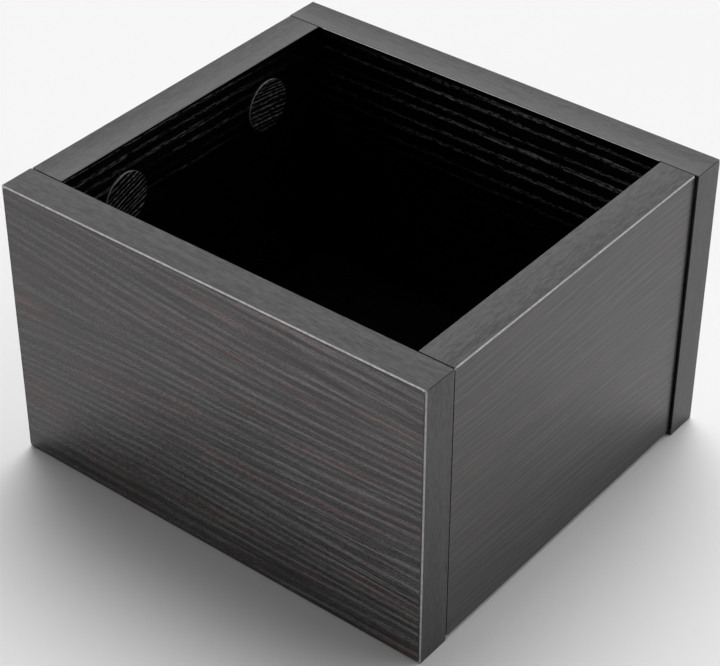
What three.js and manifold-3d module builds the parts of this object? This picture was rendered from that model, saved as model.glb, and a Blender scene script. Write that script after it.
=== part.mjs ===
// An open-topped box of four wood-grain boards, put together with cam locks and dowels.
// Millimetres, +Z up. The origin is on the ground, under the middle of the whole box.
// X runs along the front board, and the front board is on the -Y side.

import * as THREE from "three";
import { mergeVertices } from "three/addons/utils/BufferGeometryUtils.js";
import Module from "manifold-3d";

const wasm = await Module();
wasm.setup();

// Overall sizes
const frontBoardLength = 204;
const backEndStep = 1.3; // how far the back board's right end stands out past the right side board
const boxDepth = 188;
const boxHeight = 129;
const boardThickness = 16;
const sideBoardLift = 1.6; // the side boards stop this far above the ground

// Joints and glue
const jointGap = 0.3; // the thin dark line where two boards butt
const glueLine = 0.1;
const cutOverrun = 1; // how far a cutting shape runs past the face that it opens

// Edge bands
const bandThickness = 1;
const arrisRadius = 0.8; // the trimmed corner of a band on its board's outer face
const innerArrisRadius = 0.25; // the same on its board's inner face
const arrisMostShare = 0.9; // of the band's thickness

// Bottom panel and the groove that holds it
const panelThickness = 3;
const panelHeight = 10; // underside of the panel above the ground
const grooveDepth = 6;
const groovePlay = 0.3;

// Cam locks, one in each end of a side board at two levels
const camInset = 34; // from the end of the side board to the centre of the cam lock
const camFromTop = 24;
const camFromBottom = 25; // from the side board's lower edge
const camRadius = 7.5;
const camFloor = 0.9; // the wall under the chamber that holds the bolt's head
const camClearance = 0.2;
const camRecess = 0.3; // the cam lock's face lies this far under the board's face
const driverSlotLength = 8;
const driverSlotWidth = 1.6;
const driverSlotDepth = 2;

// Cam bolts
const boltThreadRadius = 3;
const boltCoreRadius = 2.4;
const boltThreadLength = 10.5;
const boltThreadTip = 1;
const boltShankRadius = 3.4;
const boltNeckRadius = 2.1;
const boltHeadRadius = 3.3;
const boltHeadFlank = 0.7; // the flank is part of a ball this much larger than the head
const boltHeadBack = 0.4; // how far the head reaches past the cam lock's axis
const boltHeadChamfer = 0.6;
const boltBoreClearance = 0.6;
const fittingClearance = 0.3;
const threadClearance = 0.15;

// Dowels
const dowelRadius = 4;
const dowelLength = 30;
const dowelInFace = 10.5; // how much of a dowel sits in the front or back board
const dowelChamfer = 0.8;
const dowelClearance = 0.15;

// Round covers over the cam locks
const coverRadius = 11.75;
const coverThickness = 0.5;
const coverChamfer = 0.15;

// Numbers of flats on round shapes
const arrisSteps = 3;
const headSteps = 3;
const camFlats = 24;
const boltFlats = 10;
const threadTurns = 4;
const dowelFlats = 14;
const coverFlats = 28;

// Sizes that follow from the ones above
const backBoardLength = frontBoardLength + backEndStep;
const sideBoardLength = boxDepth - 2 * boardThickness - 2 * jointGap;
const bandSeat = bandThickness + glueLine;
const leftEndX = -backBoardLength / 2;
const leftSideX = leftEndX + boardThickness / 2;
const rightSideX = leftEndX + frontBoardLength - boardThickness / 2;
const insideLeftX = leftSideX + boardThickness / 2;
const insideRightX = rightSideX - boardThickness / 2;
const frontBoardX = leftEndX + frontBoardLength / 2;
const boardY = (boxDepth - boardThickness) / 2;
const upperCamZ = boxHeight - camFromTop;
const lowerCamZ = sideBoardLift + camFromBottom;
const dowelZ = (upperCamZ + lowerCamZ) / 2;
const grooveBottomZ = panelHeight - groovePlay;
const grooveTopZ = panelHeight + panelThickness + groovePlay;
const boltHeadRound = boltHeadRadius + boltHeadFlank;
const boltBoreRadius = boltShankRadius + boltBoreClearance;
const chamberRadius = boltHeadRound + fittingClearance;
const chamberHeight = 2 * (boltHeadRadius + fittingClearance);
const camFaceAbove = boardThickness / 2 - camRecess; // above the bolt's axis, which is mid-board
const camFloorBelow = chamberHeight / 2 + camFloor;

// Materials
const finish = (color, roughness, metalness) =>
  new THREE.MeshStandardMaterial({ color, roughness, metalness });
const boardFinish = finish(0x3b3637, 0.5, 0);
const bandFinish = finish(0x4a4748, 0.45, 0);
const coverFinish = finish(0x343132, 0.5, 0);
const panelFinish = finish(0x1f1d1d, 0.7, 0);
const zincFinish = finish(0x9a9b9c, 0.4, 1);
const steelFinish = finish(0xb0aca0, 0.35, 1);
const beechFinish = finish(0xc9a878, 0.75, 0);

// Turns a closed geometry into a solid that can be cut.
function solidOf(geometry) {
  const bare = geometry.index ? geometry.toNonIndexed() : geometry.clone();
  bare.deleteAttribute("normal");
  bare.deleteAttribute("uv");
  const merged = mergeVertices(bare);
  return new wasm.Manifold(
    new wasm.Mesh({
      numProp: 3,
      vertProperties: merged.attributes.position.array,
      triVerts: new Uint32Array(merged.index.array),
    }),
  );
}

function geometryOf(solid) {
  const mesh = solid.getMesh();
  const geometry = new THREE.BufferGeometry();
  geometry.setAttribute(
    "position",
    new THREE.BufferAttribute(new Float32Array(mesh.vertProperties), 3),
  );
  geometry.setIndex(new THREE.BufferAttribute(new Uint32Array(mesh.triVerts), 1));
  geometry.computeVertexNormals();
  return geometry;
}

// The geometry with every cutter taken out of it.
function cut(geometry, cutters) {
  let solid = solidOf(geometry);
  for (const cutter of cutters) solid = solid.subtract(solidOf(cutter));
  return geometryOf(solid);
}

function boxBetween(low, high) {
  const size = high.map((value, i) => value - low[i]);
  const middle = high.map((value, i) => (value + low[i]) / 2);
  return new THREE.BoxGeometry(...size).translate(...middle);
}

// A round bar along Y from one place to another.
function barAlongY(radius, fromY, toY, x, z, flats) {
  const length = Math.abs(toY - fromY);
  const bar = new THREE.CylinderGeometry(radius, radius, length, flats);
  return bar.translate(x, (fromY + toY) / 2, z);
}

function named(name, geometry, material) {
  const mesh = new THREE.Mesh(geometry, material);
  mesh.name = name;
  return mesh;
}

// Edge bands: a thin strip with both its corners trimmed round, made along +Z with its outer face
// towards +X and its inner face on X = 0. The board's outer face is at Y's low end (outSide = -1) or
// at its high end (outSide = 1), where the trim is larger.
function bandGeometry(length, outSide) {
  const half = boardThickness / 2;
  const [lowTrim, highTrim] = [-1, 1].map((side) =>
    Math.min(
      side === outSide ? arrisRadius : innerArrisRadius,
      bandThickness * arrisMostShare,
    ),
  );
  const lowX = bandThickness - lowTrim;
  const highX = bandThickness - highTrim;
  const outline = new THREE.Shape();
  outline.moveTo(0, -half);
  outline.lineTo(lowX, -half);
  outline.absarc(lowX, lowTrim - half, lowTrim, -Math.PI / 2, 0, false);
  outline.absarc(highX, half - highTrim, highTrim, 0, Math.PI / 2, false);
  outline.lineTo(0, half);
  outline.closePath();
  return new THREE.ExtrudeGeometry(outline, {
    depth: length,
    bevelEnabled: false,
    curveSegments: arrisSteps,
  }).translate(0, 0, -length / 2);
}

// The same strip with each end cut to a mitre, where it meets the next band round the board.
function mitredBandGeometry(length, outSide) {
  const cutters = [1, -1].map((end) => {
    const cutter = new THREE.BoxGeometry(
      4 * bandThickness,
      boardThickness + 2 * cutOverrun,
      2 * bandThickness,
    );
    return cutter
      .translate(0, 0, bandThickness - glueLine / 2)
      .rotateY(((end > 0 ? -1 : -3) * Math.PI) / 4)
      .translate(bandThickness, 0, (end * length) / 2);
  });
  return cut(bandGeometry(length, outSide), cutters);
}

// A band along X on the top edge (up = 1) or the bottom edge (up = -1) of a front or back board.
function bandAlongX(name, geometry, up, z) {
  const band = named(name, geometry, bandFinish);
  band.rotation.y = (-up * Math.PI) / 2;
  band.position.z = z;
  return band;
}

// A band up the left end (out = -1) or the right end (out = 1) of a front or back board.
function bandAlongZ(name, geometry, out, x) {
  const band = named(name, geometry, bandFinish);
  band.rotation.z = out > 0 ? 0 : Math.PI;
  band.position.set(x, 0, boxHeight / 2);
  return band;
}

// A band along Y on the top or bottom edge of a side board.
function bandAlongY(name, geometry, up, z) {
  const turned = new THREE.Group();
  turned.rotation.z = Math.PI / 2;
  turned.add(bandAlongX(name, geometry, up, z));
  return turned;
}

// Front and back boards: a core with stopped bores and a stopped groove on its inner face, and a band
// on each of its four edges. The inner face looks towards inward, and centreX is where the middle of
// the board lies along X.
function faceBoard(name, length, centreX, inward) {
  const group = new THREE.Group();
  group.position.set(centreX, -inward * boardY, 0);
  const endX = length / 2 - bandSeat;
  const half = boardThickness / 2;
  const core = boxBetween(
    [-endX, -half, bandSeat],
    [endX, half, boxHeight - bandSeat],
  );
  const innerY = inward * half;
  const openY = inward * (half + cutOverrun);
  const grooveY = inward * (half - grooveDepth);
  const cutters = [
    boxBetween(
      [insideLeftX - grooveDepth - centreX, Math.min(grooveY, openY), grooveBottomZ],
      [insideRightX + grooveDepth - centreX, Math.max(grooveY, openY), grooveTopZ],
    ),
  ];
  for (const sideX of [leftSideX, rightSideX]) {
    const x = sideX - centreX;
    for (const z of [upperCamZ, lowerCamZ]) {
      const floorY = innerY - inward * (boltThreadLength + fittingClearance);
      cutters.push(
        barAlongY(boltThreadRadius + threadClearance, floorY, openY, x, z, boltFlats),
      );
    }
    const floorY = innerY - inward * (dowelInFace + fittingClearance);
    cutters.push(
      barAlongY(dowelRadius + dowelClearance, floorY, openY, x, dowelZ, dowelFlats),
    );
  }
  group.add(named(name, cut(core, cutters), boardFinish));
  const longBand = mitredBandGeometry(length, -inward);
  const leftBand = mitredBandGeometry(boxHeight, inward);
  const rightBand = mitredBandGeometry(boxHeight, -inward);
  const bandX = length / 2 - bandThickness;
  group.add(bandAlongX(`${name}_top_band`, longBand, 1, boxHeight - bandThickness));
  group.add(bandAlongX(`${name}_bottom_band`, longBand, -1, bandThickness));
  group.add(bandAlongZ(`${name}_left_end_band`, leftBand, -1, -bandX));
  group.add(bandAlongZ(`${name}_right_end_band`, rightBand, 1, bandX));
  return group;
}

// A cam lock, its axis along Z with its face up and the bolt's axis along X through the origin. The
// head chamber and the jaw slot are turned shapes, so the lock can turn half a turn round the bolt.
function camGeometry() {
  const body = new THREE.CylinderGeometry(
    camRadius,
    camRadius,
    camFaceAbove + camFloorBelow,
    camFlats,
  );
  body.rotateX(Math.PI / 2).translate(0, 0, (camFaceAbove - camFloorBelow) / 2);

  const chamber = new THREE.CylinderGeometry(
    chamberRadius,
    chamberRadius,
    chamberHeight,
    camFlats,
  ).rotateX(Math.PI / 2);

  // The jaw slot runs from the locked place on +X round to the free place on -X, and the bolt's neck
  // passes along it.
  const slotHalf = boltNeckRadius + fittingClearance;
  const slotEnd = Math.asin(slotHalf / chamberRadius);
  const slotStart = -Math.PI - slotEnd;
  const outside = camRadius + cutOverrun;
  const sector = new THREE.Shape();
  sector.moveTo(0, 0);
  sector.lineTo(outside * Math.cos(slotStart), outside * Math.sin(slotStart));
  sector.absarc(0, 0, outside, slotStart, slotEnd, false);
  sector.closePath();
  const slot = new THREE.ExtrudeGeometry(sector, {
    depth: 2 * slotHalf,
    bevelEnabled: false,
    curveSegments: camFlats / 2,
  }).translate(0, 0, -slotHalf);

  const entryHalf = boltHeadRadius + fittingClearance;
  const entry = boxBetween(
    [-outside, -entryHalf, -chamberHeight / 2],
    [0, entryHalf, chamberHeight / 2],
  );

  const slotTop = camFaceAbove + cutOverrun;
  const slotFloor = camFaceAbove - driverSlotDepth;
  const halfLong = driverSlotLength / 2;
  const halfWide = driverSlotWidth / 2;
  const driver = boxBetween(
    [-halfLong, -halfWide, slotFloor],
    [halfLong, halfWide, slotTop],
  );
  const crossDriver = boxBetween(
    [-halfWide, -halfLong, slotFloor],
    [halfWide, halfLong, slotTop],
  );
  return cut(body, [chamber, slot, entry, driver, crossDriver]);
}

// A cam bolt along X: its head is round the origin and its thread is at the +X end.
function boltGeometry() {
  const shankStart = camRadius + camClearance + fittingClearance;
  const threadStart = camInset + jointGap;
  const threadEnd = threadStart + boltThreadLength;
  const turn = (boltThreadLength - boltThreadTip) / threadTurns;
  const profile = [
    [0, -boltHeadBack],
    [boltHeadRadius - boltHeadChamfer, -boltHeadBack],
    [boltHeadRadius, boltHeadChamfer - boltHeadBack],
  ];
  const flankStart = Math.asin(boltHeadRadius / boltHeadRound);
  const flankEnd = Math.asin(boltNeckRadius / boltHeadRound);
  for (let i = 0; i <= headSteps; i += 1) {
    const angle = flankStart + ((flankEnd - flankStart) * i) / headSteps;
    profile.push([boltHeadRound * Math.sin(angle), boltHeadRound * Math.cos(angle)]);
  }
  profile.push([boltNeckRadius, shankStart]);
  profile.push([boltShankRadius, shankStart]);
  profile.push([boltShankRadius, camInset]);
  profile.push([boltCoreRadius, camInset]);
  for (let i = 0; i < threadTurns; i += 1) {
    const start = threadStart + i * turn;
    profile.push([boltCoreRadius, start]);
    profile.push([boltThreadRadius, start + turn / 2]);
  }
  profile.push([boltCoreRadius, threadEnd - boltThreadTip]);
  profile.push([0, threadEnd]);
  const points = profile.map(([radius, along]) => new THREE.Vector2(radius, along));
  return new THREE.LatheGeometry(points, boltFlats).rotateZ(-Math.PI / 2);
}

// A round cover whose back lies on Z = 0.
function coverGeometry() {
  const points = [
    [0, 0],
    [coverRadius, 0],
    [coverRadius, coverThickness - coverChamfer],
    [coverRadius - coverChamfer, coverThickness],
    [0, coverThickness],
  ].map(([radius, along]) => new THREE.Vector2(radius, along));
  return new THREE.LatheGeometry(points, coverFlats).rotateX(Math.PI / 2);
}

// A dowel along Y, its chamfered ends half its length to each side of the origin.
function dowelGeometry() {
  const half = dowelLength / 2;
  const points = [
    [0, -half],
    [dowelRadius - dowelChamfer, -half],
    [dowelRadius, -half + dowelChamfer],
    [dowelRadius, half - dowelChamfer],
    [dowelRadius - dowelChamfer, half],
    [0, half],
  ].map(([radius, along]) => new THREE.Vector2(radius, along));
  return new THREE.LatheGeometry(points, dowelFlats);
}

// The covers were stuck on by hand, so each lies a little off its cam lock: along the board away from
// the joint, then up, as shares of the cover's radius.
const coverDriftShares = {
  left_front_upper: [0, -0.085],
  left_front_lower: [0.04, 0.05],
  left_back_upper: [0.025, 0.11],
  left_back_lower: [-0.07, 0.16],
  right_front_upper: [0.03, 0.04],
  right_front_lower: [-0.05, -0.06],
  right_back_upper: [0.06, -0.03],
  right_back_lower: [0, 0.07],
};

// The cam lock, bolt and cover of one corner. In the group's own frame the bolt runs towards +X, into
// the front or back board, and +Z looks into the box.
function camFitting(place) {
  const group = new THREE.Group();
  group.add(named(`cam_lock_${place}`, camGeometry(), zincFinish));
  group.add(named(`cam_bolt_${place}`, boltGeometry(), steelFinish));
  return group;
}

// A side board in its own frame: its length along Y, its inner face towards +X. frontEnd is the sign
// of Y at the box's front.
function sideBoard(side, centreX, turn, frontEnd) {
  const group = new THREE.Group();
  group.position.x = centreX;
  group.rotation.z = turn;
  const name = `${side}_side_board`;
  const half = boardThickness / 2;
  const endY = sideBoardLength / 2;
  const bottomZ = sideBoardLift + bandSeat;
  const topZ = boxHeight - bandSeat;
  const core = boxBetween([-half, -endY, bottomZ], [half, endY, topZ]);
  const openX = half + cutOverrun;
  const cutters = [
    boxBetween(
      [half - grooveDepth, -endY - cutOverrun, grooveBottomZ],
      [openX, endY + cutOverrun, grooveTopZ],
    ),
  ];
  const dowelMiddle = endY + jointGap + dowelInFace - dowelLength / 2;
  for (const [end, sign] of [
    ["front", frontEnd],
    ["back", -frontEnd],
  ]) {
    const camY = sign * (endY - camInset);
    const outY = sign * (endY + cutOverrun);
    for (const [level, z] of [
      ["upper", upperCamZ],
      ["lower", lowerCamZ],
    ]) {
      const place = `${side}_${end}_${level}`;
      const floorX = -camFloorBelow - fittingClearance;
      const pocketRadius = camRadius + camClearance;
      const pocket = new THREE.CylinderGeometry(
        pocketRadius,
        pocketRadius,
        openX - floorX,
        camFlats,
      );
      pocket.rotateZ(Math.PI / 2).translate((openX + floorX) / 2, camY, z);
      cutters.push(pocket);
      cutters.push(barAlongY(boltBoreRadius, camY, outY, 0, z, boltFlats));

      const fitting = camFitting(place);
      fitting.quaternion.setFromRotationMatrix(
        new THREE.Matrix4().makeBasis(
          new THREE.Vector3(0, sign, 0),
          new THREE.Vector3(0, 0, sign),
          new THREE.Vector3(1, 0, 0),
        ),
      );
      fitting.position.set(0, camY, z);
      group.add(fitting);

      const [alongShare, upShare] = coverDriftShares[place];
      const cover = named(`cam_cover_${place}`, coverGeometry(), coverFinish);
      cover.rotation.y = Math.PI / 2;
      cover.position.set(
        half + glueLine,
        camY - sign * alongShare * coverRadius,
        z + upShare * coverRadius,
      );
      group.add(cover);
    }
    const inSideBoard = dowelLength - dowelInFace + fittingClearance;
    cutters.push(
      barAlongY(
        dowelRadius + dowelClearance,
        sign * (endY + jointGap - inSideBoard),
        outY,
        0,
        dowelZ,
        dowelFlats,
      ),
    );
    const dowel = named(`dowel_${side}_${end}`, dowelGeometry(), beechFinish);
    dowel.position.set(0, sign * dowelMiddle, dowelZ);
    group.add(dowel);
  }
  group.add(named(name, cut(core, cutters), boardFinish));
  const edgeBand = bandGeometry(sideBoardLength, 1);
  group.add(bandAlongY(`${name}_top_band`, edgeBand, 1, boxHeight - bandThickness));
  group.add(
    bandAlongY(`${name}_bottom_band`, edgeBand, -1, sideBoardLift + bandThickness),
  );
  return group;
}

// The bottom panel sits in the grooves of all four boards.
function bottomPanel() {
  const reach = grooveDepth - groovePlay;
  const halfDepth = boxDepth / 2 - boardThickness + reach;
  return named(
    "bottom_panel",
    boxBetween(
      [insideLeftX - reach, -halfDepth, panelHeight],
      [insideRightX + reach, halfDepth, panelHeight + panelThickness],
    ),
    panelFinish,
  );
}

const box = new THREE.Group();
box.add(faceBoard("front_board", frontBoardLength, frontBoardX, 1));
box.add(faceBoard("back_board", backBoardLength, 0, -1));
box.add(sideBoard("left", leftSideX, 0, -1));
box.add(sideBoard("right", rightSideX, Math.PI, 1));
box.add(bottomPanel());

export default box;
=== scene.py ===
from math import cos, pi, radians, sin

import bmesh
import bpy
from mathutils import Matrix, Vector


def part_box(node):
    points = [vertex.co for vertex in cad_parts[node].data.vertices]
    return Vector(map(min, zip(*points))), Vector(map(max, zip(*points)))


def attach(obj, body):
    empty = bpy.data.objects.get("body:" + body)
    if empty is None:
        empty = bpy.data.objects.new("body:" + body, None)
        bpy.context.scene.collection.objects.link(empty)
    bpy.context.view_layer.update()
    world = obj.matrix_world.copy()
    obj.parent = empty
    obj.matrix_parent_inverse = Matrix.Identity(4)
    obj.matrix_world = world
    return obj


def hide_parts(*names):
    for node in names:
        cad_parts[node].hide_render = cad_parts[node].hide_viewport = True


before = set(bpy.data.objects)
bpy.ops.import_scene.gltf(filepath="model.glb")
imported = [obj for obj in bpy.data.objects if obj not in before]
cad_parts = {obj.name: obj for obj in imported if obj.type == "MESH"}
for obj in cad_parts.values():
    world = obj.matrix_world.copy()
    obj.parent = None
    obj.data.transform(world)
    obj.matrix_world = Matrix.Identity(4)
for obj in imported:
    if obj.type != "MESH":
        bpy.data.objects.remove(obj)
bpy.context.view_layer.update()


# The four boards: 16 mm particle board with a melamine wood-grain paper on both faces, near black with
# pale open-pored grain lines, and a satin surface. They are sawn square, grooved and bored, and their raw
# edges are hidden by the bands and in the joints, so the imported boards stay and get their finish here.
MM = 0.001
BOARD_THICKNESS = 16 * MM
PAPER_DEPTH = 0.45 * MM


def add(tree, kind, inputs=None, **settings):
    """A new shader node with its settings, and its inputs filled or joined."""
    node = tree.nodes.new("ShaderNode" + kind)
    for name, value in settings.items():
        setattr(node, name, value)
    for name, value in (inputs or {}).items():
        if isinstance(value, bpy.types.NodeSocket):
            tree.links.new(value, node.inputs[name])
        else:
            node.inputs[name].default_value = value
    return node


def reckon(tree, operation, *values, clamp=False):
    """The output of a Math node."""
    inputs = dict(enumerate(values))
    return add(tree, "Math", inputs, operation=operation, use_clamp=clamp).outputs[0]


def times(tree, first, *others):
    """The product of all the values."""
    for other in others:
        first = reckon(tree, "MULTIPLY", first, other)
    return first


def rest_of(tree, share):
    """What a share leaves of the whole."""
    return reckon(tree, "SUBTRACT", 1.0, share)


def parts_of(tree, vector):
    """The three numbers of a vector."""
    return add(tree, "SeparateXYZ", {0: vector}).outputs


def blend_colour(tree, share, a, b):
    """The output of a colour Mix node that goes from a to b."""
    mix = add(tree, "Mix", {"Factor": share, 6: a, 7: b}, data_type="RGBA")
    return mix.outputs[2]


def blend_number(tree, share, a, b):
    """The output of a number Mix node that goes from a to b."""
    return add(tree, "Mix", {0: share, 2: a, 3: b}, data_type="FLOAT").outputs[0]


def spread(tree, value, low, high, to_low=0.0, to_high=1.0):
    """value moved from the range low to high into another one, with soft ends."""
    inputs = {"Value": value, 1: low, 2: high, 3: to_low, 4: to_high}
    node = add(tree, "MapRange", inputs, interpolation_type="SMOOTHSTEP")
    return node.outputs[0]


def stretched_noise(tree, place, scale, detail=1.0, rough=0.5, offset=(0, 0, 0)):
    """Noise whose spots are 1/scale long on each axis of place."""
    mapped = add(tree, "Mapping", {"Vector": place, "Scale": scale, "Location": offset})
    inputs = {
        "Vector": mapped.outputs[0],
        "Scale": 1.0,
        "Detail": detail,
        "Roughness": rough,
    }
    return add(tree, "TexNoise", inputs).outputs[0]


def noise_mask(tree, place, low, high, **noise):
    """Noise made a mask: 0 up to its low level, and 1 from its high level."""
    return spread(tree, stretched_noise(tree, place, **noise), low, high)


# the range in which nearly all of a noise lies, and the middle of it
NOISE_RANGE = (0.3, 0.7)
NOISE_MIDDLE = (0.35, 0.65)


def add_bump(tree, shader, height, depth, strength=1.0):
    """Relief in the surface, depth metres for each unit of height."""
    bump = add(tree, "Bump", {"Height": height, "Distance": depth, "Strength": strength})
    tree.links.new(bump.outputs[0], shader.inputs["Normal"])


def new_group(name, floats, outputs):
    """An empty shader node group with a Place vector, number inputs and outputs."""
    tree = bpy.data.node_groups.new(name, "ShaderNodeTree")
    tree.interface.new_socket("Place", in_out="INPUT", socket_type="NodeSocketVector")
    for label in floats:
        tree.interface.new_socket(label, in_out="INPUT", socket_type="NodeSocketFloat")
    for label in outputs:
        tree.interface.new_socket(label, in_out="OUTPUT", socket_type="NodeSocketFloat")
    start = tree.nodes.new("NodeGroupInput")
    end = tree.nodes.new("NodeGroupOutput")
    return tree, start.outputs, end


# The grain's noises, in spots to the millimetre along the lines, across them and through the roll
LONG_WAVES = dict(scale=(0.0055, 0.016, 0.02), detail=0.0)
CROWDING = dict(scale=(0.004, 0.11, 0.02), detail=0.0, offset=(5, 9, 2))
RIPPLES = dict(scale=(0.028, 0.10, 0.05), detail=1.0, offset=(2, 4, 7))
RAGGED_EDGES = dict(scale=(0.20, 0.8, 0.1), detail=2.0)
CROWDING_MM = 3.6
RIPPLES_MM = 1.5
SWELLING = dict(scale=(0.022, 1, 1), detail=2.0, rough=0.6)
FIBRES = dict(scale=(0.035, 2.5, 0.3), detail=1.5, rough=0.6, offset=(3, 25, 0), low=0.41, high=0.59)
PORES = dict(scale=(0.75, 2.8, 0.8), detail=2.0, rough=0.6, offset=(3, 5, 0), low=0.46, high=0.58)
DASHES = dict(detail=2.0, rough=0.6, offset=(8, 2, 4), low=0.45, high=0.57)
DASHES_ALONG, DASHES_ACROSS, DASHES_THROUGH = 0.5, 2.0, 0.5
FAINT_PRINT = dict(scale=(0.035, 2.6, 0.2), detail=1.5, rough=0.6, offset=(9, 80, 5), low=0.45, high=0.62)
WARM_DRIFT = dict(scale=(0.014, 0.13, 0.03), detail=2.0, offset=(70, 1, 2), low=0.52, high=0.7)
COOL_DRIFT = dict(scale=(0.012, 0.10, 0.03), detail=2.0, offset=(5, 60, 9), low=0.5, high=0.7)

# How the chance numbers and the swelling of a line set its place, width, edge, skin and strength
PLACE_BY_CHANCE, FIRST_PLACE = 0.3, 0.35
WIDTH_BY_SWELL, LEAST_WIDTH = 1.1, 0.3
EDGE_START, EDGE_END = -0.55, 0.75
SKIN_SHIFT, SKIN_START, SKIN_END = 0.15, 0.15, 0.5
STRENGTH_BY_CHANCE, WEAK_LINE, STRONG_LINE = 0.45, 0.35, 0.8
PRINT_BY_FIBRES, LEAST_PRINT = 0.82, 0.18
LINE_APART = 31.7
GRAIN_VALUES = ("Pitch", "Wander", "Width", "Ragged", "Hollow", "Broken", "Dash", "Patchy", "Between")


def make_wood_grain():
    """Grain lines that run along the place's first axis, in millimetres. Pitch is the step from line to
    line, Wander how far they rise and fall, Width half a line's width, and Ragged how far its edges
    stray. Hollow thins its middle, Broken chops it into dashes of about the length of Dash, Patchy lets
    it fade out in places, and Between is how strong the faint print beside it is."""
    outputs = ["Lines", "Pores", "Pressed", "Warm", "Cool"]
    tree, given, end = new_group("wood_grain", GRAIN_VALUES, outputs)
    place = given["Place"]
    pitch = given["Pitch"]
    along, across = parts_of(tree, place)[:2]

    # the lines rise, fall and crowd together over the board, and each has a ragged edge
    moved = across
    sways = (
        (LONG_WAVES, given["Wander"]),
        (CROWDING, CROWDING_MM),
        (RIPPLES, RIPPLES_MM),
        (RAGGED_EDGES, given["Ragged"]),
    )
    for waves, size in sways:
        wave = reckon(tree, "SUBTRACT", stretched_noise(tree, place, **waves), 0.5)
        moved = reckon(tree, "ADD", moved, times(tree, wave, size))
    phase = reckon(tree, "DIVIDE", moved, pitch)
    number = reckon(tree, "FLOOR", phase)
    chance = add(tree, "TexWhiteNoise", {"W": number}, noise_dimensions="1D").outputs["Color"]
    strength_chance, place_chance = add(tree, "SeparateColor", {0: chance}).outputs[:2]
    middle = reckon(tree, "MULTIPLY_ADD", place_chance, PLACE_BY_CHANCE, FIRST_PLACE)
    off_line = reckon(tree, "SUBTRACT", reckon(tree, "FRACT", phase), middle)
    away = times(tree, reckon(tree, "ABSOLUTE", off_line), pitch)

    # each line has its own strength and width, and comes and goes along its length
    own_row = times(tree, number, LINE_APART)
    run = add(tree, "CombineXYZ", {0: along, 1: own_row, 2: 0.0}).outputs[0]
    swell = stretched_noise(tree, run, **SWELLING)
    own_width = reckon(tree, "MULTIPLY_ADD", swell, WIDTH_BY_SWELL, LEAST_WIDTH)
    half_width = times(tree, own_width, given["Width"])
    edge = reckon(tree, "DIVIDE", reckon(tree, "SUBTRACT", away, half_width), given["Width"])
    line = spread(tree, edge, EDGE_START, EDGE_END, 1, 0)
    off_edge = reckon(tree, "ABSOLUTE", reckon(tree, "ADD", edge, SKIN_SHIFT))
    skin = spread(tree, off_edge, SKIN_START, SKIN_END, 0, 1)
    line = times(tree, line, rest_of(tree, times(tree, skin, given["Hollow"])))
    own_strength = reckon(tree, "MULTIPLY_ADD", strength_chance, STRENGTH_BY_CHANCE, swell)
    least = rest_of(tree, given["Patchy"])
    present = times(tree, line, spread(tree, own_strength, WEAK_LINE, STRONG_LINE, least, 1))

    # the print takes on the fibres, the pores are pressed, and both are broken into dashes
    rate = reckon(tree, "DIVIDE", DASHES_ALONG, given["Dash"])
    dash_inputs = {0: rate, 1: DASHES_ACROSS, 2: DASHES_THROUGH}
    dash_scale = add(tree, "CombineXYZ", dash_inputs).outputs[0]
    dashes = noise_mask(tree, place, scale=dash_scale, **DASHES)
    unbroken = rest_of(tree, times(tree, rest_of(tree, dashes), given["Broken"]))
    fibres = noise_mask(tree, place, **FIBRES)
    body = times(tree, unbroken, reckon(tree, "MULTIPLY_ADD", fibres, PRINT_BY_FIBRES, LEAST_PRINT))
    pores = noise_mask(tree, place, **PORES)
    faint = times(tree, noise_mask(tree, place, **FAINT_PRINT), given["Between"])
    values = dict(
        Lines=reckon(tree, "ADD", times(tree, present, body), faint, clamp=True),
        Pores=pores,
        Pressed=times(tree, present, pores, unbroken),
        Warm=noise_mask(tree, place, **WARM_DRIFT),
        Cool=noise_mask(tree, place, **COOL_DRIFT),
    )
    for label, value in values.items():
        tree.links.new(value, end.inputs[label])
    return tree


wood_grain = make_wood_grain()


def new_material(name):
    """A material with an empty tree but for its Principled BSDF and output."""
    made = bpy.data.materials.new(name)
    made.use_nodes = True
    return made, made.node_tree, made.node_tree.nodes["Principled BSDF"]


def tinted(level, tint):
    """A colour of the given level and tint."""
    return (*(level * part for part in tint), 1)


LINE_TINT = (1, 0.95, 0.96)
WARM_LINE_TINT = (1.16, 0.86, 0.82)
GROUND_TINT = (1.1, 1, 1)
WARM_GROUND_TINT = (9, 2.5, 2.2)
COOL_GROUND_TINT = (1, 1.5, 3.4)
COOL_TO_WARM = 0.7


def paper_colour(tree, grain, share, paper):
    """The paper's print: dark ground, pale lines, and warm and cool drifts over both."""
    pale, dark = paper["pale"], paper["dark"]
    warm = times(tree, grain.outputs["Warm"], paper["warmth"])
    cool = times(tree, grain.outputs["Cool"], paper["warmth"] * COOL_TO_WARM)
    line = blend_colour(tree, warm, tinted(pale, LINE_TINT), tinted(pale, WARM_LINE_TINT))
    ground = blend_colour(tree, warm, tinted(dark, GROUND_TINT), tinted(dark, WARM_GROUND_TINT))
    ground = blend_colour(tree, cool, ground, tinted(dark, COOL_GROUND_TINT))
    return blend_colour(tree, share, ground, line)


def grain_of(tree, place, paper):
    """The grain group with one paper's values."""
    grain = add(tree, "Group", node_tree=wood_grain)
    tree.links.new(place, grain.inputs["Place"])
    for label in GRAIN_VALUES:
        grain.inputs[label].default_value = paper[label.lower()]
    return grain


SWEEP_LEVEL = 87
SWEEP_HEIGHT = 100
SWEEP_START, SWEEP_FULL = 15, 50
CUT_OFF_MM = 1


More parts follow.
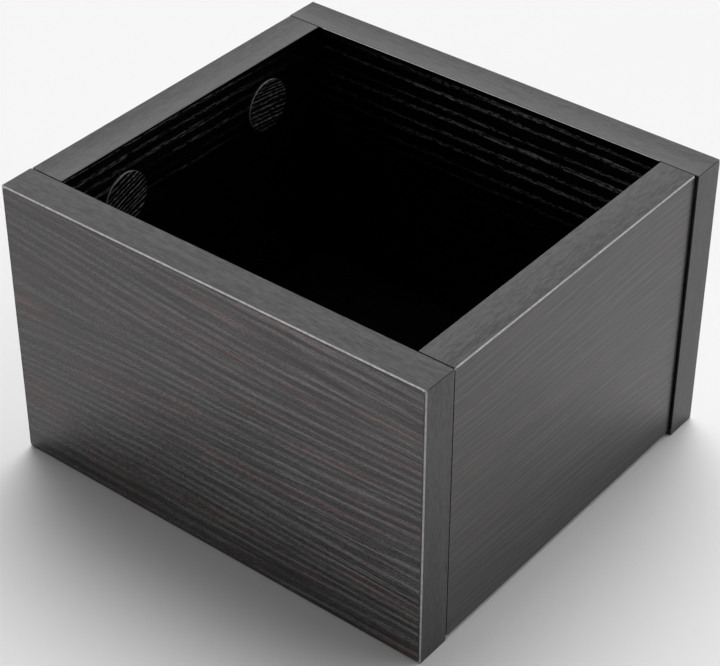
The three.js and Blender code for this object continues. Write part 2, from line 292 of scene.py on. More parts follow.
def printed_sheet(tree, along_mm, across_mm, paper):
    """One sheet of paper as it lies on its board: its colour, roughness and relief."""
    # the lines of a sheet with a sweep fall to one side above the level and rise to it below
    level = reckon(tree, "SUBTRACT", across_mm, SWEEP_LEVEL)
    turn = reckon(tree, "SINE", times(tree, level, 2 * pi / SWEEP_HEIGHT))
    slope = times(tree, turn, spread(tree, across_mm, SWEEP_START, SWEEP_FULL, 0, paper["sweep"]))
    swept = reckon(tree, "MULTIPLY_ADD", along_mm, slope, across_mm)
    on_roll = add(tree, "CombineXYZ", {0: along_mm, 1: swept, 2: paper["roll"]}).outputs[0]
    grain = grain_of(tree, on_roll, paper)

    # the lines' strength changes along the board, fades toward the foot and stops at the joints; on the
    # inner faces the change along the board and the fade toward the foot are painted shade
    reach = paper["reach"]
    off_centre = reckon(tree, "ABSOLUTE", along_mm)
    ink = times(
        tree,
        spread(tree, along_mm, *paper["ink"]),
        spread(tree, across_mm, *paper["fade"], paper["foot"], 1),
        spread(tree, off_centre, reach, reach + CUT_OFF_MM, 1, 0),
    )
    lines = times(tree, grain.outputs["Lines"], ink)
    relief = times(tree, grain.outputs["Pressed"], ink, paper["depth"])
    in_pores = paper["rough"] + paper["grit"]
    rough = spread(tree, grain.outputs["Pores"], 0, 1, paper["rough"], in_pores)
    return paper_colour(tree, grain, lines, paper), rough, relief


FLAKES = 900
FLAKE_EDGES = (0.1, 0.7)
SPECKS = dict(scale=(260, 260, 260), detail=3.0)
WOOD_DARK = (0.30, 0.19, 0.10, 1)
WOOD_PALE = (0.46, 0.33, 0.20, 1)
RESIN = (0.22, 0.13, 0.07, 1)
CHIP_ROUGH = 0.85
CHIP_RELIEF = 0.06
MELAMINE_IOR = 1.6
MELAMINE_TINT = (1.0, 0.94, 0.97, 1)


def melamine_board(name, along, through, outward, outer, inner):
    """Wood-grain paper on both faces of a board, and pressed chips on its cut edges."""
    made, tree, shader = new_material(name)
    place = add(tree, "TexCoord").outputs["Object"]
    parts = parts_of(tree, place)
    low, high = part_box(name)
    middle = (low[through] + high[through]) / 2
    off_middle = reckon(tree, "SUBTRACT", parts[through], middle)
    is_outer = reckon(tree, "GREATER_THAN", times(tree, off_middle, outward), 0)
    depth = reckon(tree, "ABSOLUTE", off_middle)
    on_face = reckon(tree, "GREATER_THAN", depth, BOARD_THICKNESS / 2 - PAPER_DEPTH)

    across_mm = times(tree, parts[2], 1 / MM)
    along_mm = times(tree, parts[along], 1 / MM)
    outer_colour, outer_rough, outer_relief = printed_sheet(tree, along_mm, across_mm, outer)
    inner_colour, inner_rough, inner_relief = printed_sheet(tree, along_mm, across_mm, inner)
    print_colour = blend_colour(tree, is_outer, inner_colour, outer_colour)
    print_rough = blend_number(tree, is_outer, inner_rough, outer_rough)
    relief = blend_number(tree, is_outer, inner_relief, outer_relief)

    # chips: flakes of softwood in resin
    flakes = add(tree, "TexVoronoi", {"Vector": place, "Scale": FLAKES}, feature="F1")
    chip = spread(tree, flakes.outputs["Distance"], *FLAKE_EDGES)
    wood = blend_colour(tree, stretched_noise(tree, place, **SPECKS), WOOD_DARK, WOOD_PALE)
    chips = blend_colour(tree, chip, wood, RESIN)

    tree.links.new(blend_colour(tree, on_face, chips, print_colour), shader.inputs["Base Color"])
    rough = blend_number(tree, on_face, CHIP_ROUGH, print_rough)
    tree.links.new(rough, shader.inputs["Roughness"])
    on_edge = reckon(tree, "SUBTRACT", CHIP_RELIEF, times(tree, on_face, CHIP_RELIEF))
    height = reckon(tree, "SUBTRACT", times(tree, chip, on_edge), times(tree, relief, on_face))
    add_bump(tree, shader, height, MM)
    shader.inputs["IOR"].default_value = MELAMINE_IOR
    shader.inputs["Specular Tint"].default_value = MELAMINE_TINT
    return made


def dress(node, material):
    """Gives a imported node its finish."""
    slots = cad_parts[node].data.materials
    slots.clear()
    slots.append(material)


def sheet(roll, **values):
    """One sheet of paper, cut from its place on the roll, with the grain group's values and these: pale
    and dark are the levels of line and ground, warmth the strength of the drifts, and sweep the slope of
    the lines. ink gives two places along the board, and how strong the lines are before and after them.
    They end at reach from the middle of the board. fade gives the two levels between which they weaken
    downward, to the share foot. On the inner faces this change along the board and this weakening
    downward are painted shade. depth is how deep the pores are pressed, in millimetres, and grit how much
    rougher the paper is in its pores."""
    paper = dict(
        pitch=4.5, wander=14, width=0.7, ragged=0.4, hollow=0, broken=0.2, dash=1.0, patchy=0.55,
        between=0.3, sweep=0.0, pale=0.09, dark=0.004, warmth=1.0, ink=(0, 1, 1, 1), reach=200,
        fade=(68, 122), foot=1.0, depth=0.012, rough=0.28, grit=0.04, roll=roll,
    )
    paper.update(values)
    return paper


LONG_GRAIN = dict(
    pitch=4.3, width=0.9, ragged=0.3, broken=0.1, between=0.42, depth=0.005, rough=0.26, grit=0.08
)
FINE_GRAIN = dict(
    pitch=3.3, wander=26, width=0.42, ragged=0.4, patchy=0.9, between=0.5, pale=0.05, warmth=0.4, depth=0
)
OUTER_SHEETS = {
    "front_board": sheet(3, sweep=0.06, ink=(-110, 60, 0.5, 1), pale=0.17, **LONG_GRAIN),
    "back_board": sheet(330, wander=22, pale=0.1, **LONG_GRAIN),
    "left_side_board": sheet(655, **FINE_GRAIN),
    "right_side_board": sheet(988, **FINE_GRAIN),
}
# On the inner faces the ground is darker than on the outer ones, as painted shade inside the box. Their
# lines fade toward the foot, and on the back and left board along the board too, also as painted shade.
# The back board's very pale inner lines are painted highlights on its pores.
INNER_PORES_AND_SHADE = dict(ragged=1.3, hollow=0.4, between=0.02, dark=0.0012, warmth=0.25, rough=0.15)
INNER_SHEETS = {
    "front_board": sheet(
        140, pitch=5.4, wander=24, broken=0.9, patchy=0.7, pale=0.09, depth=0.2, foot=0.2, reach=85,
        **INNER_PORES_AND_SHADE,
    ),
    "back_board": sheet(
        471, pitch=6.2, wander=9, width=0.78, broken=0.9, patchy=0.65, pale=1.0,
        ink=(-95, 30, 0.12, 1), depth=0.2, foot=0.02, reach=85, **INNER_PORES_AND_SHADE,
    ),
    "left_side_board": sheet(
        702, pitch=5.2, wander=12, broken=1, patchy=0.9, dash=1.9, pale=0.24,
        ink=(-20, 70, 1, 0.1), depth=0.03, foot=0.01, fade=(90, 124), **INNER_PORES_AND_SHADE,
    ),
    "right_side_board": sheet(
        1024, pitch=5.2, wander=12, broken=0.9, patchy=0.7, pale=0.1, depth=0.2, foot=0.2, **INNER_PORES_AND_SHADE,
    ),
}
# for each board: the axis along it, the axis through it, and which way its outer face looks on that
RUNS = {
    "front_board": (0, 1, -1),
    "back_board": (0, 1, 1),
    "left_side_board": (1, 0, -1),
    "right_side_board": (1, 0, 1),
}
for board, (along, through, outward) in RUNS.items():
    outer, inner = OUTER_SHEETS[board], INNER_SHEETS[board]
    dress(board, melamine_board(board, along, through, outward, outer, inner))


# The edge bands: 1 mm plastic strip, glued to every edge that stays in view and trimmed on its long
# corners. The cut on the outer face's side goes deep and bares the lighter body of the plastic, which is
# the pale line round the box. On the top and bottom bands of the front and back board that line is made
# paler still, as a painted highlight, and the back board's inner trim carries a pale painted highlight
# between the side boards. On the front and back board the strips meet in a mitre.
BAND_THICKNESS = 1.09 * MM
OUTER_TRIM = 0.5 * MM
INNER_TRIM = 0.2 * MM
TRIM_CORNER = 1.75 * MM
CORNER_DUB = 0.1 * MM
CORNER_FLATS = 6
SEAM = 0.18 * MM
BAND_SHORT = 0.1 * MM
BAND_SOFTNESS = 0.045 * MM
BAND_DARK = (0.003, 0.0026, 0.0027, 1)
BAND_PALE = (0.056, 0.051, 0.053, 1)
BAND_INWARD_PALE = (0.105, 0.099, 0.101, 1)
# the strip's cut edge on the inner face's side: nearly black, painted shade
BAND_EDGE_SHADE = (0.001, 0.0009, 0.0009, 1)
STREAKS_ACROSS, STREAKS_ALONG = 1400.0, 200.0
PATCHES_ACROSS, PATCHES_ALONG = 330.0, 14.0
PATCHES_SHARE, STREAKS_SHARE = 0.2, 0.8
INWARD_EVENLY = 0.5
STREAK_RELIEF = 0.04 * MM
STREAK_STRENGTH = 0.3
BAND_IOR = 1.5
BAND_ROUGH = (0.36, 0.44)
BAND_EDGE_ROUGH = (0.16, 0.22)
NICKS = dict(scale=(900, 900, 900), detail=2.0, rough=0.6)


def plastic_band(name, along, through, inner, outer, paler_inward):
    """Dark plastic with fine drawn streaks along the strip, a little paler toward the face of the board
    at inner."""
    made, tree, shader = new_material(name)
    place = add(tree, "TexCoord").outputs["Object"]
    fine = [STREAKS_ACROSS] * 3
    fine[along] = STREAKS_ALONG
    streaks = stretched_noise(tree, place, fine, 3.0, 0.7)
    broad = [PATCHES_ACROSS] * 3
    broad[along] = PATCHES_ALONG
    patches = stretched_noise(tree, place, broad, 2.0)
    shade = reckon(tree, "MULTIPLY_ADD", patches, PATCHES_SHARE, times(tree, streaks, STREAKS_SHARE))
    colour = blend_colour(tree, spread(tree, shade, *NOISE_MIDDLE), BAND_DARK, BAND_PALE)
    toward_inner = spread(tree, parts_of(tree, place)[through], outer, inner, 0, paler_inward)
    inward_share = times(tree, toward_inner, reckon(tree, "MULTIPLY_ADD", streaks, 1.0, INWARD_EVENLY))
    tree.links.new(blend_colour(tree, inward_share, colour, BAND_INWARD_PALE), shader.inputs["Base Color"])
    tree.links.new(spread(tree, streaks, *NOISE_MIDDLE, *BAND_ROUGH), shader.inputs["Roughness"])
    add_bump(tree, shader, streaks, STREAK_RELIEF, STREAK_STRENGTH)
    shader.inputs["IOR"].default_value = BAND_IOR
    return made


def make_shaded_band_edge():
    """The cut long edge of the strip on the inner face's side, flush with the paper, painted nearly black
    as painted shade.
    """
    made, tree, shader = new_material("band_inner_edge_painted_shade")
    place = add(tree, "TexCoord").outputs["Object"]
    nicks = stretched_noise(tree, place, **NICKS)
    share = spread(tree, nicks, *NOISE_MIDDLE)
    tree.links.new(blend_colour(tree, share, BAND_EDGE_SHADE, BAND_DARK), shader.inputs["Base Color"])
    tree.links.new(spread(tree, nicks, *NOISE_MIDDLE, *BAND_EDGE_ROUGH), shader.inputs["Roughness"])
    return made


band_inner_edge_painted_shade = make_shaded_band_edge()
SCRAPES = dict(scale=(600, 600, 600), detail=3.0, rough=0.6)
SCRAPED = 0.68
TRIM_ROUGH = (0.42, 0.6)
# the second, paler level is a painted highlight on the trim, and the reach below keeps the pale painted
# highlight on the back board's inner trim to the part between the side boards
TRIM_PALE, TRIM_PALE_WITH_HIGHLIGHT = 0.5, 0.8
WHOLE_LENGTH = 1.0
INNER_HIGHLIGHT_REACH = 84 * MM


def grey(level):
    """A grey of the given level."""
    return (level, level, level, 1)


def make_trimmed_plastic(name, pale, reach):
    """The plastic's pale body where a cutter has laid it bare, as far as reach from the middle of the
    board. Where pale is above the plain trim's level, the line is partly the bared body and partly a
    painted highlight; where reach is short, as on the back board's inner trim, the pale line is a painted
    highlight."""
    made, tree, shader = new_material(name)
    place = add(tree, "TexCoord").outputs["Object"]
    scrapes = stretched_noise(tree, place, **SCRAPES)
    share = spread(tree, scrapes, *NOISE_RANGE)
    body = blend_colour(tree, share, grey(pale * SCRAPED), grey(pale))
    off_centre = reckon(tree, "ABSOLUTE", parts_of(tree, place)[0])
    bare = spread(tree, off_centre, reach, reach + MM, 1, 0)
    tree.links.new(blend_colour(tree, bare, BAND_DARK, body), shader.inputs["Base Color"])
    tree.links.new(spread(tree, scrapes, *NOISE_RANGE, *TRIM_ROUGH), shader.inputs["Roughness"])
    return made


trimmed_plastic = make_trimmed_plastic("trimmed_plastic", TRIM_PALE, WHOLE_LENGTH)
# painted highlight: the same trim with a paler body on the front and back boards' top and bottom bands,
# and as a pale line on the back board's inner trim
trim_with_painted_highlight = make_trimmed_plastic("trimmed_plastic_painted_highlight", TRIM_PALE_WITH_HIGHLIGHT, WHOLE_LENGTH)
inner_trim_highlight = make_trimmed_plastic("inner_trim_painted_highlight", TRIM_PALE_WITH_HIGHLIGHT, INNER_HIGHLIGHT_REACH)


def point_at(parts):
    """A point or direction from its parts, given by axis, and 0 on the other axes."""
    made = Vector((0, 0, 0))
    for axis, part in parts.items():
        made[axis] = part
    return made


CUT_TOLERANCE = 1e-8
MERGE_TOLERANCE = 1e-7
PLACE_TOLERANCE = 1e-6
SHORTEST_EDGE = 1e-4
FACING = 0.9
OUTER_CUT, INNER_CUT, INNER_EDGE = 1, 2, 3


def keep_beyond(mesh, point, normal, stuff=0):
    """Cuts the closed mesh by a plane, keeps what lies on the normal's side, and closes the cut."""
    geometry = mesh.verts[:] + mesh.edges[:] + mesh.faces[:]
    cut = bmesh.ops.bisect_plane(
        mesh, geom=geometry, dist=CUT_TOLERANCE, plane_co=point, plane_no=normal, clear_inner=True
    )
    rim = [e for e in cut["geom_cut"] if isinstance(e, bmesh.types.BMEdge)]
    if rim:
        bmesh.ops.edgeloop_fill(mesh, edges=rim, mat_nr=stuff)


def round_corner(mesh, through, outer, outward, ending, raised, rounding):
    """Rounds one corner of the outer face's outline: the trimmer's cut turns round it in short flats
    that run out at the sharp corner behind."""
    lengthwise, side, edge = ending
    rise, level = raised
    in_edge = edge - side * (OUTER_TRIM + rounding)
    in_level = level - rise * (OUTER_TRIM + rounding)
    post = point_at({
        lengthwise: edge - side * CORNER_DUB,
        2: level - rise * CORNER_DUB,
        through: outer - outward * OUTER_TRIM,
    })
    inside = point_at({
        lengthwise: in_edge - side * BOARD_THICKNESS,
        2: in_level - rise * BOARD_THICKNESS,
        through: outer - outward * BOARD_THICKNESS / 2,
    })
    for step in range(1, CORNER_FLATS):
        turn = radians(90 * step / CORNER_FLATS)
        touch = point_at({
            lengthwise: in_edge + side * rounding * cos(turn),
            2: in_level + rise * rounding * sin(turn),
            through: outer,
        })
        line = point_at({lengthwise: -side * sin(turn), 2: rise * cos(turn)})
        normal = line.cross(post - touch).normalized()
        if normal.dot(inside - touch) < 0:
            normal = -normal
        keep_beyond(mesh, touch, normal, OUTER_CUT)


def board_hull(low, high, through, outward, trim_ends):
    """A whole board with its bands on, trimmed on the corners of both faces. The trims on the outer and
    the inner face's side have a material slot each."""
    mesh = bmesh.new()
    bmesh.ops.create_cube(mesh, size=1)
    bmesh.ops.scale(mesh, vec=high - low, verts=mesh.verts)
    bmesh.ops.translate(mesh, vec=(low + high) / 2, verts=mesh.verts)
    outer = (high if outward > 0 else low)[through]
    inner = (low if outward > 0 else high)[through]
    lengthwise = 1 - through

    def lies_on(edge, place):
        return all(abs(v.co[through] - place) < PLACE_TOLERANCE for v in edge.verts)

    def runs_lengthwise(edge):
        start, stop = edge.verts
        return abs(start.co[lengthwise] - stop.co[lengthwise]) > SHORTEST_EDGE

    def rim(place):
        edges = [e for e in mesh.edges if lies_on(e, place)]
        return edges if trim_ends else [e for e in edges if runs_lengthwise(e)]

    for place, width, stuff in ((outer, OUTER_TRIM, OUTER_CUT), (inner, INNER_TRIM, INNER_CUT)):
        bmesh.ops.bevel(
            mesh,
            geom=rim(place),
            offset=width,
            offset_type="OFFSET",
            segments=1,
            profile=0.5,
            affect="EDGES",
            material=stuff,
        )
    rounding = TRIM_CORNER if trim_ends else BAND_THICKNESS - OUTER_TRIM
    for side, edge in ((1, high[lengthwise]), (-1, low[lengthwise])):
        for rise, level in ((1, high[2]), (-1, low[2])):
            round_corner(mesh, through, outer, outward, (lengthwise, side, edge), (rise, level), rounding)
    return mesh


def finish_piece(mesh, name, materials, replaced):
    """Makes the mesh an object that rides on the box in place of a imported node."""
    bmesh.ops.remove_doubles(mesh, verts=mesh.verts, dist=MERGE_TOLERANCE)
    bmesh.ops.recalc_face_normals(mesh, faces=mesh.faces)
    data = bpy.data.meshes.new(name)
    mesh.to_mesh(data)
    mesh.free()
    piece = bpy.data.objects.new(name, data)
    bpy.context.scene.collection.objects.link(piece)
    for material in materials:
        data.materials.append(material)
    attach(piece, "box")
    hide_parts(replaced)
    return piece


def soften(piece, width):
    """A small Bevel modifier that takes the sharpness off the piece's edges."""
    bevel = piece.modifiers.new("soft_edges", "BEVEL")
    bevel.width = width
    bevel.segments = 2
    bevel.limit_method = "ANGLE"
    bevel.angle_limit = radians(25)
    bevel.harden_normals = False


def board_box(board, bands):
    """The lowest and highest corner of a board with its bands."""
    boxes = [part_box(name) for name in (board, *bands)]
    low = Vector([min(b[0][i] for b in boxes) for i in range(3)])
    high = Vector([max(b[1][i] for b in boxes) for i in range(3)])
    return low, high


# for each side of a board: the axis on which it looks, and which way
SIDES = {"top": (2, 1), "bottom": (2, -1), "left_end": (0, -1), "right_end": (0, 1)}


def make_bands(board, through, outward, sides, paler_inward, inner_highlight=False):
    """The bands of one board, each cut from the trimmed whole. The trim on the inner corner stays dark
    unless it is given the pale painted highlight."""
    names = {side: f"{board}_{side}_band" for side in sides}
    low, high = board_box(board, names.values())
    mitred = len(sides) > 2
    if not mitred:
        low[1 - through] += BAND_SHORT
        high[1 - through] -= BAND_SHORT
    outer, inner = (high, low) if outward > 0 else (low, high)
    faces = (inner[through], outer[through])
    flat_strip = plastic_band(f"band_{board}_flat", 1 - through, through, *faces, paler_inward)
    post_strip = plastic_band(f"band_{board}_post", 2, through, *faces, 0)
    for side, name in names.items():
        axis, out = SIDES[side]
        mesh = board_hull(low, high, through, outward, mitred)
        edge = (high if out > 0 else low)[axis]
        keep_beyond(mesh, point_at({axis: edge - out * BAND_THICKNESS}), point_at({axis: out}))
        if mitred:
            other = 2 - axis
            for sign, corner in ((1, high), (-1, low)):
                normal = point_at({axis: out, other: -sign}).normalized()
                corner_point = point_at({axis: edge, other: corner[other]})
                keep_beyond(mesh, corner_point + normal * SEAM / 2, normal)
        bmesh.ops.recalc_face_normals(mesh, faces=mesh.faces)
        for f in mesh.faces:
            if f.normal[through] * outward < -FACING:
                f.material_index = INNER_EDGE
        is_flat = axis == 2
        strip = flat_strip if is_flat else post_strip
        # on the front and back boards' top and bottom bands the outer trim gets the paler painted
        # highlight, and on the back board the inner trim gets a pale painted highlight
        outer_cut = trim_with_painted_highlight if mitred and is_flat else trimmed_plastic
        stuff = [strip, outer_cut, inner_trim_highlight if inner_highlight else strip, band_inner_edge_painted_shade]
        piece = finish_piece(mesh, f"{name}_strip", stuff, name)
        soften(piece, BAND_SOFTNESS)


make_bands("front_board", 1, -1, SIDES, paler_inward=0.15)
make_bands("back_board", 1, 1, SIDES, paler_inward=0.6, inner_highlight=True)
make_bands("left_side_board", 0, -1, ["top", "bottom"], paler_inward=0.6)
make_bands("right_side_board", 0, 1, ["top", "bottom"], paler_inward=0.3)


# The bottom panel: 3 mm hardboard, thin and smooth, with a dark foil on it. It is slid into a groove on
# all four boards.
# nearly black, darker than the dark foil itself: painted shade inside the box
PANEL_SHADE_DARK = (0.0008, 0.0007, 0.0007, 1)
PANEL_SHADE_PALE = (0.0018, 0.0016, 0.0016, 1)
PANEL_GLOSS = 0.03
PANEL_ROUGH = (0.6, 0.8)
PANEL_RELIEF = 0.1 * MM
PANEL_MOTTLE = dict(scale=(180, 180, 180), detail=4.0, rough=0.6)
PANEL_FIBRE = dict(scale=(1500, 1500, 1500), detail=3.0, rough=0.6)


def make_shaded_hardboard():
    """Pressed fibre under the foil with a faint mottle, painted nearly black as painted shade inside the
    box.
    """
    made, tree, shader = new_material("hardboard_painted_shade")
    place = add(tree, "TexCoord").outputs["Object"]
    mottle = stretched_noise(tree, place, **PANEL_MOTTLE)
    fibre = stretched_noise(tree, place, **PANEL_FIBRE)
    mixed = reckon(tree, "MULTIPLY_ADD", mottle, 0.6, times(tree, fibre, 0.4))
    shade = blend_colour(tree, spread(tree, mixed, *NOISE_MIDDLE), PANEL_SHADE_DARK, PANEL_SHADE_PALE)
    tree.links.new(shade, shader.inputs["Base Color"])
    tree.links.new(spread(tree, fibre, *NOISE_RANGE, *PANEL_ROUGH), shader.inputs["Roughness"])
    add_bump(tree, shader, fibre, PANEL_RELIEF, 0.4)
    shader.inputs["Specular IOR Level"].default_value = PANEL_GLOSS
    return made


dress("bottom_panel", make_shaded_hardboard())


# The fittings: a zinc cam lock in each end of a side board at two levels, the zinc-plated bolt that it
# draws on, and a ribbed beech dowel at mid-height of each joint. All are inside the boards.
ZINC_DARK, ZINC_PALE = (0.36, 0.37, 0.38, 1), (0.50, 0.51, 0.52, 1)
STEEL_DARK, STEEL_PALE = (0.52, 0.50, 0.44, 1), (0.68, 0.66, 0.60, 1)
BEECH_DARK, BEECH_PALE = (0.50, 0.33, 0.19, 1), (0.64, 0.46, 0.29, 1)
BEECH_FLECK = (0.33, 0.19, 0.1, 1)
CAST_ROUGH, PLATED_ROUGH, BEECH_ROUGH = (0.35, 0.55), (0.22, 0.40), (0.6, 0.8)
CAST_MOTTLE, PLATED_MOTTLE = 900, 500
METAL_RELIEF = 0.05 * MM
BEECH_FIBRE = dict(scale=(900, 70, 900), detail=3.0, rough=0.6)
BEECH_FLECKS = dict(scale=(1900, 400, 1900), detail=2.0, rough=0.6, offset=(3, 0, 0), low=0.6, high=0.75)


def make_metal(name, dark, pale, rough, mottle):
    """Cast or plated metal with a fine mottle."""
    made, tree, shader = new_material(name)
    place = add(tree, "TexCoord").outputs["Object"]
    spots = stretched_noise(tree, place, (mottle, mottle, mottle), 4.0, 0.6)
    share = spread(tree, spots, *NOISE_RANGE)
    tree.links.new(blend_colour(tree, share, dark, pale), shader.inputs["Base Color"])
    tree.links.new(spread(tree, spots, *NOISE_RANGE, *rough), shader.inputs["Roughness"])
    add_bump(tree, shader, spots, METAL_RELIEF, 0.4)
    shader.inputs["Metallic"].default_value = 1
    return made


def make_beech():
    """Plain turned beech with short flecks along the dowel."""
    made, tree, shader = new_material("beech")
    place = add(tree, "TexCoord").outputs["Object"]
    fibre = stretched_noise(tree, place, **BEECH_FIBRE)
    wood = blend_colour(tree, spread(tree, fibre, *NOISE_RANGE), BEECH_DARK, BEECH_PALE)
    flecked = blend_colour(tree, noise_mask(tree, place, **BEECH_FLECKS), wood, BEECH_FLECK)
    tree.links.new(flecked, shader.inputs["Base Color"])
    tree.links.new(spread(tree, fibre, *NOISE_RANGE, *BEECH_ROUGH), shader.inputs["Roughness"])
    return made


cast_zinc = make_metal("cast_zinc", ZINC_DARK, ZINC_PALE, CAST_ROUGH, CAST_MOTTLE)
plated_steel = make_metal("plated_steel", STEEL_DARK, STEEL_PALE, PLATED_ROUGH, PLATED_MOTTLE)
beech = make_beech()
CORNERS = [f"{side}_{end}" for side in ("left", "right") for end in ("front", "back")]
PLACES = [f"{corner}_{level}" for corner in CORNERS for level in ("upper", "lower")]
for place_name in PLACES:
    dress(f"cam_lock_{place_name}", cast_zinc)
    dress(f"cam_bolt_{place_name}", plated_steel)
for corner in CORNERS:
    dress(f"dowel_{corner}", beech)


# The covers: thin round stickers of the same wood-grain paper, pressed over the cam locks by hand, so
# that each one's grain lies its own way. Their punched rim has a painted highlight on the side that faces
# up and to the front. The upper and lower rows are lit and shaded copies of one paper: the upper row is
# paler, as painted light, and the lower row darker, as painted shade.
COVER_TURN = {
    "left_front_upper": -18,
    "left_front_lower": 12,
    "left_back_upper": 7,
    "left_back_lower": 15,
    "right_front_upper": 8,
    "right_front_lower": -20,
    "right_back_upper": 16,
    "right_back_lower": -5,
}
COVER_STEPS = 72
RIM_WIDTH = 0.14 * MM
# the side of the rim that gets a painted highlight, and below it how far the rim's normal must turn that
# way
RIM_LIT_SIDE = (0, -0.7, 0.7)
RIM_DARK = (0.002, 0.002, 0.002, 1)
RIM_FRAY = dict(scale=(1200, 1200, 1200), detail=3.0, rough=0.6)
RIM_LIGHT_START, RIM_LIGHT_FULL = 0.05, 0.6
COVER_ROUGH = (0.16, 0.22)
RIM_ROUGH = (0.45, 0.65)
COVER_IOR = 1.5
GRAIN_STEP_ALONG, GRAIN_STEP_ACROSS = 70, 31


def make_cover_paper(name, paper):
    """Fine grain lines in the cover's own direction, from its UV map in millimetres."""
    made, tree, shader = new_material(name)
    flat = add(tree, "UVMap", uv_map="grain_mm").outputs[0]
    grain = grain_of(tree, flat, paper)
    tree.links.new(paper_colour(tree, grain, grain.outputs["Lines"], paper), shader.inputs["Base Color"])
    tree.links.new(spread(tree, grain.outputs["Pores"], 0, 1, *COVER_ROUGH), shader.inputs["Roughness"])
    add_bump(tree, shader, times(tree, grain.outputs["Pressed"], -paper["depth"]), MM)
    shader.inputs["IOR"].default_value = COVER_IOR
    return made


def make_cover_rim(name, pale, gloss):
    """The bare cut edge of the sticker, with a painted highlight on the side whose normal faces up and to
    the front.
    """
    made, tree, shader = new_material(name)
    coordinates = add(tree, "TexCoord").outputs
    fray = stretched_noise(tree, coordinates["Object"], **RIM_FRAY)
    share = spread(tree, fray, *NOISE_RANGE)
    lit_rim = blend_colour(tree, share, grey(pale * 0.5), grey(pale))
    sides = {0: coordinates["Normal"], 1: RIM_LIT_SIDE}
    turned = add(tree, "VectorMath", sides, operation="DOT_PRODUCT").outputs["Value"]
    edge = blend_colour(tree, spread(tree, turned, RIM_LIGHT_START, RIM_LIGHT_FULL), RIM_DARK, lit_rim)
    tree.links.new(edge, shader.inputs["Base Color"])
    tree.links.new(spread(tree, fray, *NOISE_RANGE, *RIM_ROUGH), shader.inputs["Roughness"])
    shader.inputs["Specular IOR Level"].default_value = gloss
    return made


# the near-black ground is painted shade inside the box
COVER_GRAIN = dict(
    pitch=1.9, wander=4, width=0.24, ragged=1.0, broken=0.9, dash=1.0, patchy=0.75, between=0.04,
    dark=0.0006, warmth=0.1, depth=0.05,
)
# lit and shaded copies of one paper and rim: the upper row pale as painted light, the lower row dark as
# painted shade
cover_paper = {
    "upper": make_cover_paper("cover_paper_painted_light", sheet(0, pale=0.55, **COVER_GRAIN)),
    "lower": make_cover_paper("cover_paper_painted_shade", sheet(0, pale=0.05, **COVER_GRAIN)),
}
cover_rim = {
    "upper": make_cover_rim("cover_rim_painted_highlight", 0.5, 0.3),
    "lower": make_cover_rim("cover_rim_painted_shade", 0.006, 0.05),
}


def make_cover(place_name, number):
    """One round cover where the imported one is."""
    name = f"cam_cover_{place_name}"
    low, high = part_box(name)
    middle = (low + high) / 2
    radius = (high.z - low.z) / 2
    thick = high.x - low.x
    face = 1 if place_name.startswith("left") else -1
    mesh = bmesh.new()
    bmesh.ops.create_circle(mesh, cap_ends=True, segments=COVER_STEPS, radius=radius)
    grown = bmesh.ops.extrude_face_region(mesh, geom=mesh.faces[:])
    lifted = [v for v in grown["geom"] if isinstance(v, bmesh.types.BMVert)]
    bmesh.ops.translate(mesh, vec=(0, 0, thick), verts=lifted)
    bmesh.ops.recalc_face_normals(mesh, faces=mesh.faces)
    rim = [e for e in mesh.edges if all(v.co.z > thick / 2 for v in e.verts)]
    for f in mesh.faces:
        f.material_index = 0 if abs(f.normal.z) > 0.5 else 1
    bmesh.ops.bevel(
        mesh,
        geom=rim,
        offset=RIM_WIDTH,
        offset_type="OFFSET",
        segments=3,
        profile=0.5,
        affect="EDGES",
        material=1,
    )
    turn = radians(COVER_TURN[place_name])
    layer = mesh.loops.layers.uv.new("grain_mm")
    for f in mesh.faces:
        f.smooth = f.material_index == 1
        for loop in f.loops:
            x, y = loop.vert.co.x / MM, loop.vert.co.y / MM
            loop[layer].uv = (
                x * cos(turn) - y * sin(turn) + GRAIN_STEP_ALONG * number,
                x * sin(turn) + y * cos(turn) + GRAIN_STEP_ACROSS * number,
            )
    # the disc's own x runs along the wall and its z stands off the wall
    for v in mesh.verts:
        x, y, z = v.co
        v.co = (middle.x + face * (z - thick / 2), middle.y + x, middle.z + y)
    level = place_name.split("_")[-1]
    finish_piece(mesh, f"{name}_sticker", [cover_paper[level], cover_rim[level]], name)


for number, place_name in enumerate(PLACES):
    make_cover(place_name, number)


# The studio: a pale floor in a white room that is dim behind the camera, with a soft light overhead and
# no lamps. The camera stands where the photograph was taken from.
FLOOR_RADIUS = 5
FLOOR_DARK = (0.92, 0.92, 0.92, 1)
FLOOR_PALE = (0.94, 0.94, 0.94, 1)


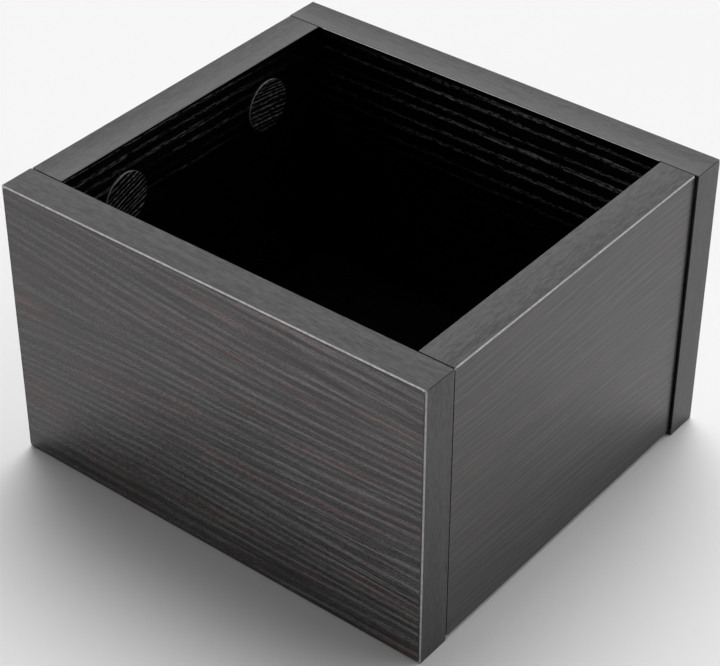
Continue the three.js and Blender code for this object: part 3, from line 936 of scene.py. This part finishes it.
def make_floor():
    """The floor: a wide disc of matt white board under the box."""
    made, tree, shader = new_material("white_floor")
    place = add(tree, "TexCoord").outputs["Object"]
    mottle = stretched_noise(tree, place, (3, 3, 3), 2.0)
    tree.links.new(blend_colour(tree, mottle, FLOOR_DARK, FLOOR_PALE), shader.inputs["Base Color"])
    shader.inputs["Roughness"].default_value = 0.8
    shader.inputs["Specular IOR Level"].default_value = 0.1
    mesh = bmesh.new()
    bmesh.ops.create_circle(mesh, cap_ends=True, segments=96, radius=FLOOR_RADIUS)
    data = bpy.data.meshes.new("floor")
    mesh.to_mesh(data)
    mesh.free()
    floor = bpy.data.objects.new("floor", data)
    bpy.context.scene.collection.objects.link(floor)
    data.materials.append(made)


make_floor()


def toward(azimuth, elevation):
    """A unit vector, with the azimuth counted from X toward Y."""
    turn, rise = radians(azimuth), radians(elevation)
    return Vector((cos(rise) * cos(turn), cos(rise) * sin(turn), sin(rise)))


SKY = 1.1
# each with its direction, its strength in the middle, and how many degrees its edge and core lie off it
DIM_SIDE = dict(middle=toward(-75, 20), at_core=0.06, edge=92, core=60)
OVERHEAD = dict(middle=toward(120, 60), at_core=4.8, edge=26, core=6)


def make_studio():
    """White walls all round but for a dim side behind the camera, and a soft light overhead that leans
    to the back on the left. What is seen of the room, also in a gloss, is plain white."""
    world = bpy.data.worlds.new("studio")
    bpy.context.scene.world = world
    world.use_nodes = True
    tree = world.node_tree
    sight = add(tree, "TexCoord").outputs["Generated"]

    def within(middle, edge, core, at_edge, at_core):
        off = add(tree, "VectorMath", {0: sight, 1: middle}, operation="DOT_PRODUCT").outputs["Value"]
        return spread(tree, off, cos(radians(edge)), cos(radians(core)), at_edge, at_core)

    lit = reckon(tree, "ADD", within(at_edge=SKY, **DIM_SIDE), within(at_edge=0, **OVERHEAD))
    rays = add(tree, "LightPath").outputs
    seen = reckon(tree, "MAXIMUM", rays["Is Camera Ray"], rays["Is Glossy Ray"])
    seen = reckon(tree, "MAXIMUM", seen, rays["Is Transmission Ray"])
    sky = tree.nodes["Background"]
    sky.inputs["Color"].default_value = (1, 1, 1, 1)
    tree.links.new(blend_number(tree, seen, lit, 1.0), sky.inputs["Strength"])


make_studio()

photo_camera = bpy.data.cameras.new("photo_camera")
photo_camera.lens = 111.36
photo_camera.sensor_width = 36
photo_camera.clip_start = 0.02
photo_camera.clip_end = 50
camera = bpy.data.objects.new("photo_camera", photo_camera)
camera.location = (0.44940, -0.56928, 0.59384)
camera.rotation_euler = (radians(53.2115), radians(-0.0967), radians(38.4771))
bpy.context.scene.collection.objects.link(camera)
bpy.context.scene.camera = camera
bpy.context.scene.view_settings.view_transform = "Standard"
